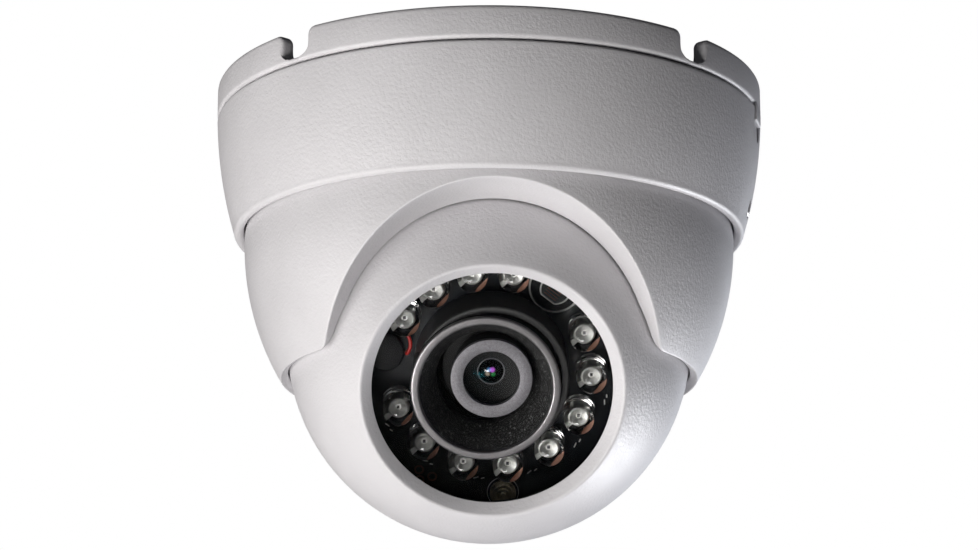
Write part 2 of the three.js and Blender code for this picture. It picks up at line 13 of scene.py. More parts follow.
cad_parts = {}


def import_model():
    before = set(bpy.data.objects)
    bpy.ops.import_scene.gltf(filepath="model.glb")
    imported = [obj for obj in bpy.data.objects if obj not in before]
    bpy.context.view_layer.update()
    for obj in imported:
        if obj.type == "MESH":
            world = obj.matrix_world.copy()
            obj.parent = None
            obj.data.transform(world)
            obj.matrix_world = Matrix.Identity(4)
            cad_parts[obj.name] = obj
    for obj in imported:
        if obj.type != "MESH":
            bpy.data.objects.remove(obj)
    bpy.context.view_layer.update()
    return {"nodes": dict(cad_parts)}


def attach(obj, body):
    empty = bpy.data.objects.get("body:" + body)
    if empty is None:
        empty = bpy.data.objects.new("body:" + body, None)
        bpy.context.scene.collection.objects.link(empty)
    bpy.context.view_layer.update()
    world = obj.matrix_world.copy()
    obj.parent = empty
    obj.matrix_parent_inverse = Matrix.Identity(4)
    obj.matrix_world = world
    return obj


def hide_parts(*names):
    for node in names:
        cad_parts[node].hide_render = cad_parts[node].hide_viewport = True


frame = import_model()

MM = 0.001

# ---------------------------------------------------------------------------------------------------
# Sizes, in millimetres
# ---------------------------------------------------------------------------------------------------

SIDES = 192  # columns round the large shells

OUTER_R = 46.86
BAND_H = 5.6
BAND_WALL = 2.75
PLATE_TOP = -5.0
PLATE_BOTTOM = -7.4
CABLE_HOLE_R = 14.0
CABLE_HOLE_BEVEL = 0.3
SPIGOT_R = 45.0  # step that centres the cover on the base
SKIRT_OUT = 41.5
SKIRT_IN = 39.5
SKIRT_BOTTOM = -19.8
WALL_EDGE = 0.85  # rounding of the wall's upper edge and of the notches
WALL_BEAD = 0.75  # rounding of the wall's lower edge
NOTCH_W = 5.75
NOTCH_FLOOR = -4.9
NOTCH_FLOOR_R = 1.4
NOTCH_MOUTH_R = 1.5
NOTCH_ANGLES = (44.5, -44.5, 135.5, -135.5)  # degrees from the front
BOSS_R = 5.2
BOSS_BOTTOM = -9.8
COVER_CURVE_R = 74.0
COVER_CURVE_Z = -4.0
COVER_WALL = 1.4
COVER_EDGE = 0.45  # rounding of the cover's upper edge
LIP_Z = -25.4
LIP_IN_R = 41.95
LEDGE_Z = -22.7
LOCK_Z = -22.0
LOCK_ANGLES = {"lock_screw_right": -7.5, "lock_screw_left": 172.5}  # degrees about Z
LOCK_TIP_R = 43.0
LOCK_END_R = 44.5
LOCK_R = 1.4
LOCK_HOLE_R = 1.7
TAB_ANGLE = -14.0
TAB_HALF_W = 2.5
TAB_IN_R = 44.5
TAB_BOTTOM = -8.6
TAB_TOP = -5.1
PRY_DEPTH = 0.55  # recess in the cover below the tab
PRY_BOTTOM = -11.3
SCREW_HOLE_R = 2.3
SCREW_CIRCLE_R = 33.0
SCREW_HOLES = (90, 210, 330)  # degrees about Z

FLANGE_R = 42.7
FLANGE_TOP = -21.2
FLANGE_BOTTOM = -22.4
NECK_R = 41.4
NECK_IN_R = 39.4
BOWL_R = 41.8
BOWL_WIDEST_Z = -27.5
BOWL_CURVE_R = 46.0
NECK_CURVE_R = 12.5
BOWL_BOTTOM = -51.1
BOWL_WALL = 2.0
BOWL_EDGE = 0.3  # rounding of the edge round the arch and along the bottom
UNDERSIDE_TOP = -50.2  # the underside slopes up from the skin to the ball
ARCH_R = 27.75
ARCH_Z = -55.18
FOOT_FILLET = 1.1
THROAT_HALF_W = 26.2  # the arch's wall narrows to this ellipse at the ball
THROAT_H = 27.5
THROAT_FILLET = 2.0
THROAT_SLOPE = 0.33  # steepest inward lean of that wall
SEAT_RISE = 5.4  # the ball's seat rises this far from the underside
SEAT_RISE_LESS = 3.4  # and this much less from the top of the arch

BALL_Z = -44.2
BALL_R = 34.25
SEAT_R = BALL_R + 0.35
FRONT_WALL = 2.0
REAR_WALL = 2.8
SEAM_H = -5.0
SEAL_OUT_R = 32.9
SEAL_IN_R = 31.6
SEAL_DEPTH = 1.2
OUTLET_R = 5.5  # opening at the back of the ball
TILT_DOWN = 32.0
BEZEL_R = 21.55
WINDOW_R = 19.75
WINDOW_SEAT_H = 24.7
GLASS_R = 21.7
GLASS_FRONT = 24.4
GLASS_BACK = 22.9

BOARD_TOP = 11.8
LED_FOOT = BOARD_TOP + 0.3
LED_RUNS = ((8, 203.2, 360 / 14, 16.7), (4, 78.1, 23.3, 17.0))  # count, first angle, step and radius
SENSOR_AT = (17.1, 51.9)  # radius and angle
CAP_AT = (17.85, 172.6)
CAP_R = 3.35
BOARD_SCREW_R = 22.9
BOARD_SCREW_ANGLES = (-84, 96)
SHROUD_X = -1.0
SHROUD_Y = -0.8
SHROUD_TOP = 22.6
LENS_RING_TOP = 19.6

BALL_FRAME = Matrix.Translation((0, 0, BALL_Z * MM)) @ Matrix.Rotation(math.radians(90 + TILT_DOWN), 4, "X")

# ---------------------------------------------------------------------------------------------------
# Meshes
# ---------------------------------------------------------------------------------------------------


def add_object(name, verts, faces, material, crease=40):
    """A smooth-shaded mesh object from points in millimetres, with edges over crease degrees kept sharp."""
    mesh = bpy.data.meshes.new(name)
    mesh.from_pydata([tuple(v) for v in np.asarray(verts, float) * MM], [], faces)
    mesh.validate()
    mesh.polygons.foreach_set("use_smooth", [True] * len(mesh.polygons))
    mesh.set_sharp_from_angle(angle=math.radians(crease))
    mesh.materials.append(material)
    obj = bpy.data.objects.new(name, mesh)
    bpy.context.scene.collection.objects.link(obj)
    return obj


def fix(obj, body, *nodes, slot=None):
    """Puts a finished piece on its body, in place of the CAD nodes it stands for.

    Its placement goes into its mesh, so that its box is square to the frame."""
    obj.data.transform(obj.matrix_world)
    obj.matrix_world = Matrix()
    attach(obj, body)
    if nodes:
        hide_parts(*nodes)
    return obj


def torus_faces(columns, rows):
    """Quads of a grid that closes on itself both ways, for points listed column by column."""
    faces = []
    for c in range(columns):
        d = (c + 1) % columns
        for r in range(rows):
            s = (r + 1) % rows
            faces.append((c * rows + r, d * rows + r, d * rows + s, c * rows + s))
    return faces


def turned(profile, sides=96):
    """Points and faces of (r, z) points turned about Z: a closed loop, or a line from axis to axis."""
    if profile[0][0] > 0:
        angles = np.arange(sides) * 2 * math.pi / sides
        verts = [(r * math.cos(a), r * math.sin(a), z) for a in angles for r, z in profile]
        return verts, torus_faces(sides, len(profile))
    inner = profile[1:-1]
    rows = len(inner)
    verts = []
    for a in np.arange(sides) * 2 * math.pi / sides:
        verts += [(r * math.cos(a), r * math.sin(a), z) for r, z in inner]
    first, last = len(verts), len(verts) + 1
    verts += [(0, 0, profile[0][1]), (0, 0, profile[-1][1])]
    faces = []
    for c in range(sides):
        d = (c + 1) % sides
        faces.append((first, d * rows, c * rows))
        faces.append((last, c * rows + rows - 1, d * rows + rows - 1))
        faces += [(c * rows + r, d * rows + r, d * rows + r + 1, c * rows + r + 1) for r in range(rows - 1)]
    return verts, faces


def lathe(name, profile, material, sides=96, crease=40):
    """A turned object whose faces point out, whichever way its profile runs."""
    points = np.array(profile)
    following = np.roll(points, -1, axis=0)
    if (points[:, 0] * following[:, 1] - following[:, 0] * points[:, 1]).sum() < 0:
        profile = profile[::-1]
    verts, faces = turned(profile, sides)
    return add_object(name, verts, faces, material, crease)


def arc(r, z, radius, start, stop, steps):
    """Points of an arc in the r-z plane between two angles in degrees."""
    angles = np.radians(np.linspace(start, stop, steps + 1))
    return [(r + radius * math.cos(a), z + radius * math.sin(a)) for a in angles]


def angle_at(radius, height):
    return math.degrees(math.asin(height / radius))


def block(r0, r1, z0, z1):
    """The corners of a rectangle in the r-z plane."""
    return [(r0, z0), (r1, z0), (r1, z1), (r0, z1)]


def rounded(points, radius, steps=4, closed=True):
    """The polyline with its corners rounded; radius is one number or one for each corner."""
    radii = radius if hasattr(radius, "__len__") else [radius] * len(points)
    result = []
    for i, (corner, size) in enumerate(zip(points, radii)):
        if size == 0 or (not closed and i in (0, len(points) - 1)):
            result.append(corner)
            continue
        c = np.array(corner, float)
        before = np.array(points[i - 1], float) - c
        after = np.array(points[(i + 1) % len(points)], float) - c
        reach = min(size, np.linalg.norm(before) * 0.45, np.linalg.norm(after) * 0.45)
        start = c + before / np.linalg.norm(before) * reach
        stop = c + after / np.linalg.norm(after) * reach
        for s in np.linspace(0, 1, steps + 1):
            result.append(tuple((1 - s) ** 2 * start + 2 * s * (1 - s) * c + s * s * stop))
    return result


def bent(a, corner, b, steps):
    """Points of a smooth bend from a to b, drawn towards the corner."""
    a, corner, b = (np.array(p, float) for p in (a, corner, b))
    return [(1 - s) ** 2 * a + 2 * s * (1 - s) * corner + s * s * b for s in np.linspace(0, 1, steps + 1)]


def straight(a, b, steps):
    """The points after a, up to b."""
    a, b = np.array(a, float), np.array(b, float)
    return [a + (b - a) * s / steps for s in range(1, steps + 1)]


def cut(obj, *tools):
    """Cuts closed tool objects out of obj and removes them."""
    for tool in tools:
        modifier = obj.modifiers.new("cut", "BOOLEAN")
        modifier.object = tool
        modifier.solver = "EXACT"
    apply_modifiers(obj)
    for tool in tools:
        bpy.data.objects.remove(tool)


def apply_modifiers(obj):
    """Bakes the modifiers into the mesh."""
    graph = bpy.context.evaluated_depsgraph_get()
    mesh = bpy.data.meshes.new_from_object(obj.evaluated_get(graph))
    obj.modifiers.clear()
    obj.data = mesh
    mesh.set_sharp_from_angle(angle=math.radians(35))


def in_ball(obj):
    """Places a piece made in the ball's frame."""
    obj.matrix_world = BALL_FRAME
    return obj


def polar(radius, degrees):
    """The x and y of a point at a radius and angle."""
    a = math.radians(degrees)
    return radius * math.cos(a), radius * math.sin(a)


# ---------------------------------------------------------------------------------------------------
# Materials
# ---------------------------------------------------------------------------------------------------


class Nodes:
    """A new material and short names for the nodes it is built from."""

    def __init__(self, name, roughness=0.5, metallic=0.0, **sockets):
        self.material = bpy.data.materials.new(name)
        self.material.use_nodes = True
        self.tree = self.material.node_tree
        self.shader = self.tree.nodes["Principled BSDF"]
        self.shader.inputs["Roughness"].default_value = roughness
        self.shader.inputs["Metallic"].default_value = metallic
        for socket, value in sockets.items():
            self.shader.inputs[socket.replace("_", " ")].default_value = value
        self.coords = self.tree.nodes.new("ShaderNodeTexCoord").outputs["Object"]

    def link(self, source, target):
        self.tree.links.new(source, target)

    def node(self, kind, **inputs):
        node = self.tree.nodes.new(kind)
        for socket, value in inputs.items():
            target = node.inputs[socket.replace("_", " ")]
            if isinstance(value, bpy.types.NodeSocket):
                self.link(value, target)
            else:
                target.default_value = value
        return node

    def noise(self, scale, detail=2.0, roughness=0.5):
        node = self.node("ShaderNodeTexNoise", Vector=self.coords, Scale=scale, Detail=detail)
        node.inputs["Roughness"].default_value = roughness
        return node.outputs["Fac"]

    def ramp(self, fac, *stops):
        """A colour ramp through (position, colour) stops."""
        node = self.node("ShaderNodeValToRGB", Fac=fac)
        elements = node.color_ramp.elements
        while len(elements) < len(stops):
            elements.new(0.5)
        for element, (position, colour) in zip(elements, stops):
            element.position = position
            element.color = (*colour, 1)
        return node.outputs["Color"]

    def math(self, operation, *values):
        node = self.tree.nodes.new("ShaderNodeMath")
        node.operation = operation
        for socket, value in zip(node.inputs, values):
            if isinstance(value, bpy.types.NodeSocket):
                self.link(value, socket)
            else:
                socket.default_value = value
        return node.outputs["Value"]

    def bump(self, height, strength, distance):
        node = self.node("ShaderNodeBump", Height=height, Strength=strength, Distance=distance)
        previous = self.shader.inputs["Normal"].links
        if previous:
            self.link(previous[0].from_socket, node.inputs["Normal"])
        self.link(node.outputs["Normal"], self.shader.inputs["Normal"])

    def set(self, socket, source):
        self.link(source, self.shader.inputs[socket])


def grey(value):
    return (value, value, value)


def powder_coat():
    """White powder coat: fine orange peel over a slower waviness, with a very faint tone variation."""
    m = Nodes("powder_coat", roughness=0.42)
    m.set("Base Color", m.ramp(m.noise(60, 3), (0.3, (0.60, 0.588, 0.602)), (0.7, (0.66, 0.647, 0.662))))
    m.set("Roughness", m.math("MULTIPLY_ADD", m.noise(420, 2), 0.16, 0.36))
    m.bump(m.noise(2000, 2.5, 0.55), 0.8, 0.0001)
    m.bump(m.noise(400, 1.0), 0.1, 0.0002)
    return m.material


def rough_plastic(name, tone, roughness, grain, strength):
    """Dark moulding or rubber with a fine spark-eroded grain."""
    m = Nodes(name, roughness=roughness)
    m.set("Base Color", m.ramp(m.noise(500, 2), (0.3, grey(tone * 0.8)), (0.7, grey(tone * 1.25))))
    m.bump(m.noise(grain, 3, 0.6), strength, 0.0001)
    return m.material


def shroud_rubber():
    """Grainy black rubber, with pale flecks painted into its colour as the sparkle of its grain catching the
    light.
    """
    m = Nodes("shroud_rubber", roughness=0.7, Specular_IOR_Level=0.25)
    # painted highlights: scattered pale flecks in the base colour stand in for the sparkle of the grain
    painted_sparkle = m.noise(2600, 4, 0.7)
    m.set("Base Color", m.ramp(painted_sparkle, (0.48, grey(0.007)), (0.60, grey(0.035)), (0.72, grey(0.30))))
    m.bump(m.noise(2300, 4, 0.7), 0.8, 0.00014)
    return m.material


def metal(name, colour, roughness):
    """Bare metal with fine uneven polish."""
    m = Nodes(name, metallic=1.0)
    dark = tuple(c * 0.82 for c in colour)
    m.set("Base Color", m.ramp(m.noise(900, 3), (0.3, dark), (0.7, colour)))
    m.set("Roughness", m.math("MULTIPLY_ADD", m.noise(1800, 2), 0.15, roughness))
    return m.material


def anodised():
    """Grey anodising with a fine grain."""
    m = Nodes("lens_anodising", roughness=0.5, metallic=0.35)
    m.set("Base Color", m.ramp(m.noise(3000, 2), (0.35, (0.135, 0.13, 0.14)), (0.65, (0.185, 0.18, 0.195))))
    m.bump(m.noise(4000, 2), 0.12, 0.00005)
    return m.material


def solder_mask(name, dark, light):
    """Glossy board lacquer over faint copper tracks."""
    m = Nodes(name, roughness=0.22, Specular_IOR_Level=0.25)
    tracks = m.node("ShaderNodeTexVoronoi", Vector=m.coords, Scale=420.0)
    tracks.feature = "DISTANCE_TO_EDGE"
    m.set("Base Color", m.ramp(tracks.outputs["Distance"], (0.03, light), (0.09, dark)))
    m.bump(tracks.outputs["Distance"], 0.15, 0.00005)
    return m.material


def film(name, colour, strength):
    """Clear glass as a reflecting film: it mirrors by Fresnel's law and lets the rest through."""
    m = Nodes(name, roughness=0.03, metallic=1.0)
    paler = tuple(min(1, c * 1.05) for c in colour)
    m.set("Base Color", m.ramp(m.noise(40, 1), (0.2, colour), (0.8, paler)))
    facing = m.node("ShaderNodeFresnel", IOR=1.46).outputs["Fac"]
    m.set("Alpha", m.math("MULTIPLY", facing, strength))
    return m.material


def led_resin():
    """Clear epoxy, with faint flow lines."""
    m = Nodes("led_resin", roughness=0.02, Transmission_Weight=1.0, IOR=1.5)
    m.set("Base Color", m.ramp(m.noise(700, 2), (0.3, (0.93, 0.93, 0.91)), (0.7, (0.98, 0.98, 0.97))))
    m.bump(m.noise(700, 2), 0.3, 0.00005)
    return m.material


def lens_coating():
    """Front element: a dark glass whose coating reflects teal."""
    m = Nodes("lens_coating", roughness=0.1, metallic=1.0)
    m.set("Base Color", m.ramp(m.noise(120, 1), (0.3, (0.05, 0.34, 0.42)), (0.7, (0.06, 0.42, 0.48))))
    facing = m.node("ShaderNodeFresnel", IOR=1.5).outputs["Fac"]
    m.set("Alpha", m.math("MULTIPLY", facing, 0.14))
    return m.material


def inner_glass():
    """Rear element: dark glass, with small coloured reflections of the elements behind it painted into its
    colour as soft round spots.
    """
    m = Nodes("inner_glass", roughness=0.08)
    total = None
    # painted reflections: each entry is a centre in the ball's frame, a radius and a colour, laid into the
    # base colour as a spot that fades out
    painted_glints = (((0.2, 0.3, 15.9), 0.55, (0.55, 0.12, 0.75)), ((-0.35, 0.3, 15.9), 0.5, (0.05, 0.2, 0.45)),
              ((-0.6, -0.45, 15.8), 0.5, (0.30, 0.22, 0.16)), ((0.35, -0.5, 15.8), 0.5, (0.02, 0.2, 0.05)))
    for centre, radius, colour in painted_glints:
        offset = m.node("ShaderNodeVectorMath", Vector=m.coords)
        offset.operation = "DISTANCE"
        offset.inputs[1].default_value = BALL_FRAME @ Vector([v * MM for v in centre])
        reach = m.math("DIVIDE", offset.outputs["Value"], radius * MM)
        spot = m.ramp(reach, (0.45, colour), (1.0, (0, 0, 0)))
        if total is None:
            total = spot
            continue
        mix = m.tree.nodes.new("ShaderNodeMixRGB")
        mix.blend_type = "ADD"
        mix.inputs["Fac"].default_value = 1.0
        m.link(total, mix.inputs["Color1"])
        m.link(spot, mix.inputs["Color2"])
        total = mix.outputs["Color"]
    m.set("Base Color", total)
    return m.material


def coloured(name, colour, roughness, **sockets):
    """Opaque moulded or painted material with a slight tone variation."""
    m = Nodes(name, roughness=roughness, **sockets)
    dark = tuple(c * 0.85 for c in colour)
    m.set("Base Color", m.ramp(m.noise(900, 3), (0.3, dark), (0.7, colour)))
    m.bump(m.noise(1800, 2), 0.08, 0.00005)
    return m.material


PAINT = powder_coat()
BLACK = rough_plastic("black_moulding", 0.02, 0.5, 1800, 0.25)
MATT_BLACK = rough_plastic("matt_black", 0.005, 0.8, 1800, 0.2)
RUBBER = rough_plastic("black_rubber", 0.022, 0.75, 1400, 0.2)
SHROUD = shroud_rubber()
STEEL = metal("zinc_steel", (0.62, 0.61, 0.59), 0.22)
BRASS = metal("turned_brass", (0.66, 0.56, 0.36), 0.2)
SILVER = metal("led_frame_silver", (0.95, 0.95, 0.93), 0.48)
COPPER = metal("bare_copper", (0.42, 0.16, 0.09), 0.35)
ANODISED = anodised()
BOARD = solder_mask("board_black", (0.006, 0.007, 0.009), (0.012, 0.014, 0.017))
GREEN_BOARD = solder_mask("board_green", (0.008, 0.06, 0.025), (0.02, 0.12, 0.05))
WINDOW = film("window_film", (0.9, 0.95, 1.0), 0.12)
RESIN = led_resin()
SILKSCREEN = coloured("silkscreen_white", (0.62, 0.62, 0.60), 0.6)
RED = coloured("wire_red", (0.62, 0.02, 0.015), 0.35)
IVORY = coloured("ivory_nylon", (0.75, 0.72, 0.62), 0.45)
CAP = coloured("cap_black", (0.006, 0.006, 0.008), 0.12, Specular_IOR_Level=0.35)
NICKEL = coloured("nickel_brass", (1.0, 0.88, 0.60), 0.25, Metallic=0.8)
BRONZE = coloured("led_bronze", (0.40, 0.19, 0.13), 0.4, Metallic=0.4)
CHIP = coloured("led_chip", (0.10, 0.10, 0.11), 0.3)
SENSOR = coloured("sensor_resin", (0.018, 0.02, 0.02), 0.15)
MASKED_COPPER = coloured("masked_copper", (0.10, 0.018, 0.012), 0.4)
LIP = coloured("shroud_lip_grey", (0.19, 0.183, 0.187), 0.3, Metallic=0.75)
LENS_COAT = lens_coating()
INNER_GLASS = inner_glass()
RED_GLASS = film("infrared_cut_film", (0.9, 0.25, 0.2), 0.6)
CLEAR_GLASS = film("clear_film", (0.85, 0.95, 0.9), 0.3)

# ---------------------------------------------------------------------------------------------------
# Mounting base and cover ring
# ---------------------------------------------------------------------------------------------------


def notch_outline():
    """Half of a notch's outline from its middle, as (distance along the wall, height) points."""
    half = NOTCH_W / 2
    floor_r, mouth_r = NOTCH_FLOOR_R, NOTCH_MOUTH_R
    points = [(0, NOTCH_FLOOR), (half - floor_r, NOTCH_FLOOR)]
    points += arc(half - floor_r, NOTCH_FLOOR + floor_r, floor_r, -90, 0, 6)[1:]
    points += [(half, z) for z in np.linspace(NOTCH_FLOOR + floor_r, -mouth_r, 5)[1:-1]]
    points += arc(half + mouth_r, -mouth_r, mouth_r, 180, 90, 6)
    return points


def wall_outline():
    """The top edge of the base's wall, as (azimuth, height, azimuth of the column's foot) from the front."""
    per_mm = 1 / OUTER_R
    half = notch_outline()
    full = [(-u, z) for u, z in half[:0:-1]] + half
    steps = [0.0]
    for a, b in zip(full, full[1:]):
        steps.append(steps[-1] + math.hypot(b[0] - a[0], b[1] - a[1]))
    reach = NOTCH_W / 2 + NOTCH_MOUTH_R
    columns = []
    centres = sorted(a % 360 for a in NOTCH_ANGLES)
    for i, centre in enumerate(centres):
        middle = math.radians(centre)
        for (u, z), s in zip(full, steps):
            low = middle + (s / steps[-1] * 2 - 1) * reach * per_mm
            columns.append((middle + u * per_mm, z, low))
        start = middle + reach * per_mm
        stop = math.radians(centres[(i + 1) % 4] + (360 if i == 3 else 0)) - reach * per_mm
        for a in np.linspace(start, stop, 40)[1:-1]:
            columns.append((a, 0.0, a))
    return columns


def base_wall():
    """The mounting base: a dish whose wall has four notches, all edges softly rounded."""
    columns = wall_outline()
    count = len(columns)
    wall_in = OUTER_R - BAND_WALL
    hole_edge = CABLE_HOLE_R + CABLE_HOLE_BEVEL
    foot = -BAND_H
    sections = []

    def place(radius, azimuth, height):
        angle = azimuth - math.pi / 2
        return (radius * math.cos(angle), radius * math.sin(angle), height)

    for i, (a, z, low) in enumerate(columns):
        before, after = columns[i - 1], columns[(i + 1) % count]
        du = ((after[0] - before[0] + math.pi) % (2 * math.pi) - math.pi) * OUTER_R
        dz = after[1] - before[1]
        length = math.hypot(du, dz)
        inward = (dz / length / OUTER_R, -du / length)  # into the wall, along its face
        edge = min(WALL_EDGE, (z - foot) * 0.3)
        rim_a, rim_z = a + inward[0] * edge, z + inward[1] * edge
        bead = min(WALL_BEAD, (rim_z - foot) * 0.9)
        section = [place(r, low, h) for r, h in (
            (hole_edge, PLATE_BOTTOM), (SKIRT_IN, PLATE_BOTTOM), (SKIRT_IN, SKIRT_BOTTOM),
            (SKIRT_OUT, SKIRT_BOTTOM), (SKIRT_OUT, PLATE_BOTTOM), (SPIGOT_R, PLATE_BOTTOM),
            (SPIGOT_R, foot), (OUTER_R - bead, foot))]
        section += [place(r, low, h) for r, h in arc(OUTER_R - bead, foot + bead, bead, -80, 0, 6)]
        blend = [low + (rim_a - low) * t for t in (0.5, 1)]
        section.append(place(OUTER_R, blend[0], (foot + bead + rim_z) / 2))
        section += bent(place(OUTER_R, rim_a, rim_z), place(OUTER_R, a, z), place(OUTER_R - edge, a, z), 4)
        section += bent(place(wall_in + edge, a, z), place(wall_in, a, z), place(wall_in, rim_a, rim_z), 4)
        section.append(place(wall_in, low, PLATE_TOP))
        section.append(place(hole_edge, low, PLATE_TOP))
        section.append(place(CABLE_HOLE_R, low, PLATE_TOP - CABLE_HOLE_BEVEL))
        section.append(place(CABLE_HOLE_R, low, PLATE_BOTTOM + CABLE_HOLE_BEVEL))
        sections.append(section)
    rows = len(sections[0])
    verts = [p for section in sections for p in section]
    faces = [face[::-1] for face in torus_faces(count, rows)]
    return add_object("base_shell", verts, faces, PAINT)


def drilled_base():
    """The base with its screw holes, and the bosses under them."""
    base = base_wall()
    places = [Matrix.Translation([v * MM for v in (*polar(SCREW_CIRCLE_R, a), 0)]) for a in SCREW_HOLES]
    tools = []
    for place in places:
        tool = lathe("drill", block(0, SCREW_HOLE_R, -12, 0), PAINT, 32)
        tool.matrix_world = place
        tools.append(tool)
    cut(base, *tools)
    fix(base, "base", "mounting_base", slot="painted_white")
    top = PLATE_BOTTOM + 0.02
    ring = rounded(block(SCREW_HOLE_R, BOSS_R, BOSS_BOTTOM, top), [0.2, 0.5, 0, 0], 4)
    for place in places:
        boss = lathe("screw_boss", ring, PAINT, 48)
        boss.matrix_world = place
        fix(boss, "base")


def sector(name, section, half_width):
    """A solid swept about Z from a counter-clockwise (r, z) section, centred on the pry tab."""
    reach = half_width / OUTER_R
    n, steps = len(section), 12
    angles = math.radians(TAB_ANGLE) + np.linspace(-reach, reach, steps + 1)
    verts = [(r * math.cos(a), r * math.sin(a), z) for a in angles for r, z in section]
    faces = [tuple(range(n)), tuple(range(steps * n, (steps + 1) * n))[::-1]]
    for i in range(steps):
        for k in range(n):
            faces.append((i * n + k, (i + 1) * n + k, (i + 1) * n + (k + 1) % n, i * n + (k + 1) % n))
    return add_object(name, verts, faces, PAINT)


def pry_tab():
    """The tab on the base's edge that shows where the cover is prised off."""
    tab = sector("tab", block(TAB_IN_R, OUTER_R + 0.2, TAB_BOTTOM, TAB_TOP), TAB_HALF_W)
    bevel = tab.modifiers.new("bevel", "BEVEL")
    bevel.width = 0.35 * MM
    bevel.segments = 3
    apply_modifiers(tab)
    return tab


drilled_base()
fix(pry_tab(), "base")


def cover_r(z, inset=0.0):
    """The cover's radius at a height, or that of a surface inset from it."""
    return OUTER_R - COVER_CURVE_R + math.sqrt(COVER_CURVE_R**2 - (z - COVER_CURVE_Z) ** 2) - inset


def cover_ring():
    """The drum-shaped cover with its rolled lower lip."""
    top = -BAND_H - 0.3
    lip_r = (cover_r(LIP_Z) - LIP_IN_R) / 2
    profile = [(cover_r(top, COVER_WALL), top), (cover_r(top) - 0.6, top)]
    profile += arc(cover_r(top) - COVER_EDGE, top - COVER_EDGE, COVER_EDGE, 80, 0, 4)
    profile += [(cover_r(z), z) for z in np.linspace(top - 2 * COVER_EDGE, LIP_Z + 0.3, 40)]
    profile += arc(LIP_IN_R + lip_r, LIP_Z, lip_r, -5, -175, 12)
    profile += [(LIP_IN_R, LIP_Z + 0.5), (LIP_IN_R, LEDGE_Z)]
    profile += [(cover_r(z, COVER_WALL), z) for z in np.linspace(LEDGE_Z, top - 1, 6)]
    cover = lathe("cover_shell", profile, PAINT, SIDES)
    half_width, inside, outside = TAB_HALF_W + 0.3, 43, 49
    slots = [sector("slot", block(inside, outside, TAB_BOTTOM - 0.3, top + 1), half_width),
             sector("slot", block(OUTER_R - PRY_DEPTH, outside, PRY_BOTTOM, TAB_BOTTOM - 0.2), half_width)]
    for angle in LOCK_ANGLES.values():
        drill = lathe("drill", block(0, LOCK_HOLE_R, 0, 10), PAINT, 40)
        drill.matrix_world = radial(angle, 40, LOCK_Z)
        slots.append(drill)
    cut(cover, *slots)
    return cover


def radial(degrees, radius, height):
    """The place where Z points straight out from the axis."""
    turn = Matrix.Rotation(math.radians(degrees), 4, "Z")
    return turn @ Matrix.Translation((radius * MM, 0, height * MM)) @ Matrix.Rotation(math.pi / 2, 4, "Y")


def lock_screws():
    """The set screws that lock the cover, with hexagon sockets."""
    length, bevel = LOCK_END_R - LOCK_TIP_R, 0.15
    thread = [(LOCK_R - 0.12 * (i % 2), 0.25 + i * 0.17) for i in range(6)]
    profile = [(0, 0), (0.9, 0)] + thread
    profile += [(LOCK_R, length - bevel), (LOCK_R - bevel, length), (0, length)]
    for number, (name, angle) in enumerate(LOCK_ANGLES.items(), 1):
        screw = lathe(name + "_body", profile, STEEL, 40)
        cut(screw, lathe("socket", block(0, 0.85, 0.7, 4), STEEL, 6))
        screw.matrix_world = radial(angle, LOCK_TIP_R, LOCK_Z)
        fix(screw, name, f"lock_screw_{number}", slot="steel")


fix(cover_ring(), "base", "cover_ring", slot="painted_white")
lock_screws()

# ---------------------------------------------------------------------------------------------------
# Turret bowl
# ---------------------------------------------------------------------------------------------------


def bowl_r(z):
    """The bowl's outer radius at a height, without its rounded lower edge."""
    curve = BOWL_CURVE_R if z < BOWL_WIDEST_Z else NECK_CURVE_R
    return BOWL_R - curve + math.sqrt(curve**2 - (z - BOWL_WIDEST_Z) ** 2)


def seat_r(z):
    """How far the ball's seat is from the Z axis at a height."""
    return math.sqrt(SEAT_R**2 - (z - BALL_Z) ** 2)


def throat_point(t):
    """Where the arch's wall meets the ball: an ellipse, or the least lean where that would be too steep."""
    x, z = THROAT_HALF_W * math.sin(t), ARCH_Z + THROAT_H * math.cos(t)
    skin_x = ARCH_R * math.sin(t)
    skin_y = math.sqrt(bowl_r(z) ** 2 - skin_x**2)
    a = 1 + THROAT_SLOPE**2
    b = THROAT_SLOPE * skin_x + skin_y
    depth = (b - math.sqrt(b * b - a * (bowl_r(z) ** 2 - seat_r(z) ** 2))) / a
    return max(x, skin_x - THROAT_SLOPE * depth), z


def rim_path(point, foot, low, radius, fillet):
    """Half of a rim as (azimuth, height): over the arch, round its foot and along the lower edge to the back.

    point(t) is the arch at an angle from its top, and radius(z) is the surface's distance from the Z axis.
    """
    def on_surface(t):
        x, z = point(t)
        return math.asin(x / radius(z)), z

    arch = [on_surface(t) for t in np.linspace(0, foot - fillet / ARCH_R, 56)]
    corner = on_surface(foot)
    stop = corner[0] + fillet / radius(low)
    turn = [tuple(p) for p in bent(arch[-1], corner, (stop, low), 8)[1:]]
    return arch + turn + [(a, low) for a in np.linspace(stop, math.pi, 76)[1:]]


